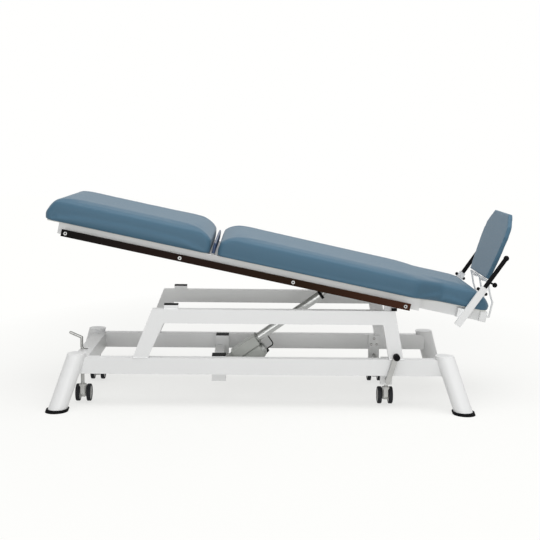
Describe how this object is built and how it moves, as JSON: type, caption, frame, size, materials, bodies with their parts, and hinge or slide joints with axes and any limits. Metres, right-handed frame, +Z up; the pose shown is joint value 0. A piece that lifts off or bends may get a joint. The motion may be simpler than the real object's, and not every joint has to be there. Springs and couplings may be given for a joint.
{
  "type": "tilt table",
  "caption": "Padded treatment table on a splayed-leg steel base. An actuator tilts the top; hinged head section, foot plate, side grips and lowering castors.",
  "frame": {"origin": "on the floor, under the middle of the overall length and width", "axes": "+X from the head end to the foot end, +Y to the far side, +Z up; the top is shown tilted 11.7 degrees, head end high"},
  "size_m": [2.0026, 0.8458, 0.8917],
  "materials": {
    "white_coat": "smooth white powder coat",
    "panel_white": "white laminated board, thin edge",
    "blue_vinyl": "padded blue-grey vinyl, soft sheen",
    "brown_rail": "dark brown gloss coat",
    "black_rubber": "matt black rubber",
    "black_plastic": "satin black plastic",
    "bright_steel": "plain bright steel",
    "grey_housing": "light grey moulded housing",
    "motor_metal": "cast grey metal with a dark end",
    "tube_metal": "grey extruded tube",
    "castor_body": "light grey plastic",
    "castor_tyre": "dark grey soft tread on a light hub",
    "light_metal": "light clips"
  },
  "bodies": {
    "base": {"legs": "white_coat", "rubber_feet": "black_rubber", "base_rail_front": "white_coat", "base_rail_rear": "white_coat", "head_cross_member": "white_coat", "upper_rails": "white_coat", "frame_arms": "white_coat", "rest_stubs": "white_coat", "rest_pads": "black_rubber", "actuator_posts": "white_coat", "post_caps": "black_plastic", "actuator_cross_tube": "white_coat", "actuator_base_bracket": "bright_steel", "castor_housings": "white_coat", "tilt_bearing_blocks": "white_coat", "tilt_buffers": "black_rubber"},
    "pedal_head": {"cam_shaft_head": "bright_steel"},
    "pedal_foot": {"cam_shaft_foot": "bright_steel", "pedal_grip": "black_plastic"},
    "castor_lift_head": {"castor_stems_head": "bright_steel"},
    "castor_lift_foot": {"castor_stems_foot": "bright_steel"},
    "actuator": {"actuator_housing": "grey_housing", "actuator_motor": "motor_metal", "actuator_tube": "tube_metal", "actuator_tube_cap": "black_plastic", "motor_lead": "black_plastic"},
    "actuator_rod": {"actuator_rod": "bright_steel", "actuator_front_pin": "bright_steel"},
    "table": {"side_tubes": "white_coat", "frame_cross_tubes": "white_coat", "foot_frame": "white_coat", "accessory_rails": "brown_rail", "rail_screws": "bright_steel", "rail_spacers": "white_coat", "tilt_pins": "bright_steel", "main_panel": "panel_white", "main_cushion": "blue_vinyl", "actuator_ears": "white_coat", "hinge_leaf_fixed": "white_coat", "bar_tubes": "white_coat", "bar_lugs": "white_coat", "plate_hinge_bar": "white_coat", "bar_knobs": "black_plastic"},
    "head_section": {"head_panel": "panel_white", "hinge_leaf_moving": "white_coat", "head_cushion": "blue_vinyl"},
    "bar_front": {"slide_bar_front": "bright_steel", "grip_front": "black_rubber"},
    "bar_rear": {"slide_bar_rear": "bright_steel", "grip_rear": "black_rubber"},
    "foot_plate": {"foot_plate_pad": "blue_vinyl", "plate_clips": "light_metal"},
    "castor_fork_head_front": {"castor_fork_head_front": "castor_body"},
    "castor_wheels_head_front": {"castor_wheels_head_front": "castor_tyre"},
    "castor_fork_head_rear": {"castor_fork_head_rear": "castor_body"},
    "castor_wheels_head_rear": {"castor_wheels_head_rear": "castor_tyre"},
    "castor_fork_foot_front": {"castor_fork_foot_front": "castor_body"},
    "castor_wheels_foot_front": {"castor_wheels_foot_front": "castor_tyre"},
    "castor_fork_foot_rear": {"castor_fork_foot_rear": "castor_body"},
    "castor_wheels_foot_rear": {"castor_wheels_foot_rear": "castor_tyre"}
  },
  "joints": [
    {"name": "head_pedal_turn", "type": "hinge", "parent": "base", "child": "pedal_head", "pos_m": [-0.85824, 0, 0.186], "axis": [0, -1, 0], "range_deg": [0, 90]},
    {"name": "foot_pedal_turn", "type": "hinge", "parent": "base", "child": "pedal_foot", "pos_m": [0.45176, 0, 0.122], "axis": [0, 1, 0], "range_deg": [0, 90]},
    {"name": "head_castor_lift", "type": "slide", "parent": "base", "child": "castor_lift_head", "axis": [0, 0, 1], "range_m": [-0.0085, 0]},
    {"name": "foot_castor_lift", "type": "slide", "parent": "base", "child": "castor_lift_foot", "axis": [0, 0, 1], "range_m": [-0.0085, 0]},
    {"name": "table_tilt", "type": "hinge", "parent": "base", "child": "table", "pos_m": [0.45676, 0, 0.457], "axis": [0, 1, 0], "range_deg": [-11.7, 64.3]},
    {"name": "actuator_turn", "type": "hinge", "parent": "base", "child": "actuator", "pos_m": [-0.23914, 0, 0.153], "axis": [0, -1, 0], "range_deg": [-0.53, 2.89]},
    {"name": "actuator_extend", "type": "slide", "parent": "actuator", "child": "actuator_rod", "axis": [0.8182, 0, 0.575], "range_m": [-0.03704, 0.20358]},
    {"name": "head_section_tilt", "type": "hinge", "parent": "table", "child": "head_section", "pos_m": [-0.28763, 0, 0.69898], "axis": [0, 1, 0], "range_deg": [0, 55]},
    {"name": "front_bar_slide", "type": "slide", "parent": "table", "child": "bar_front", "axis": [0.5664, 0, 0.8241], "range_m": [0, 0.1]},
    {"name": "rear_bar_slide", "type": "slide", "parent": "table", "child": "bar_rear", "axis": [0.5664, 0, 0.8241], "range_m": [0, 0.1]},
    {"name": "foot_plate_turn", "type": "hinge", "parent": "table", "child": "foot_plate", "pos_m": [0.89329, 0, 0.53816], "axis": [0, 1, 0], "range_deg": [-20, 30]},
    {"name": "head_front_swivel", "type": "hinge", "parent": "castor_lift_head", "child": "castor_fork_head_front", "pos_m": [-0.85824, -0.235, 0.076], "axis": [0, 0, 1], "continuous": true},
    {"name": "head_front_roll", "type": "hinge", "parent": "castor_fork_head_front", "child": "castor_wheels_head_front", "pos_m": [-0.85824, -0.205, 0.0405], "axis": [1, 0, 0], "continuous": true},
    {"name": "head_rear_swivel", "type": "hinge", "parent": "castor_lift_head", "child": "castor_fork_head_rear", "pos_m": [-0.85824, 0.235, 0.076], "axis": [0, 0, 1], "continuous": true},
    {"name": "head_rear_roll", "type": "hinge", "parent": "castor_fork_head_rear", "child": "castor_wheels_head_rear", "pos_m": [-0.85824, 0.205, 0.0405], "axis": [1, 0, 0], "continuous": true},
    {"name": "foot_front_swivel", "type": "hinge", "parent": "castor_lift_foot", "child": "castor_fork_foot_front", "pos_m": [0.45176, -0.248, 0.076], "axis": [0, 0, 1], "continuous": true},
    {"name": "foot_front_roll", "type": "hinge", "parent": "castor_fork_foot_front", "child": "castor_wheels_foot_front", "pos_m": [0.45176, -0.213, 0.0405], "axis": [1, 0, 0], "continuous": true},
    {"name": "foot_rear_swivel", "type": "hinge", "parent": "castor_lift_foot", "child": "castor_fork_foot_rear", "pos_m": [0.45176, 0.248, 0.076], "axis": [0, 0, 1], "continuous": true},
    {"name": "foot_rear_roll", "type": "hinge", "parent": "castor_fork_foot_rear", "child": "castor_wheels_foot_rear", "pos_m": [0.45176, 0.213, 0.0405], "axis": [1, 0, 0], "continuous": true}
  ],
  "couplings": [
    {"joint": "head_castor_lift", "follows": "head_pedal_turn", "m_per_rad": -0.0054},
    {"joint": "foot_castor_lift", "follows": "foot_pedal_turn", "m_per_rad": -0.0054},
    {"joint": "actuator_turn", "follows": "table_tilt", "ratio": 0.0449},
    {"joint": "actuator_extend", "follows": "table_tilt", "m_per_rad": 0.1814}
  ]
}
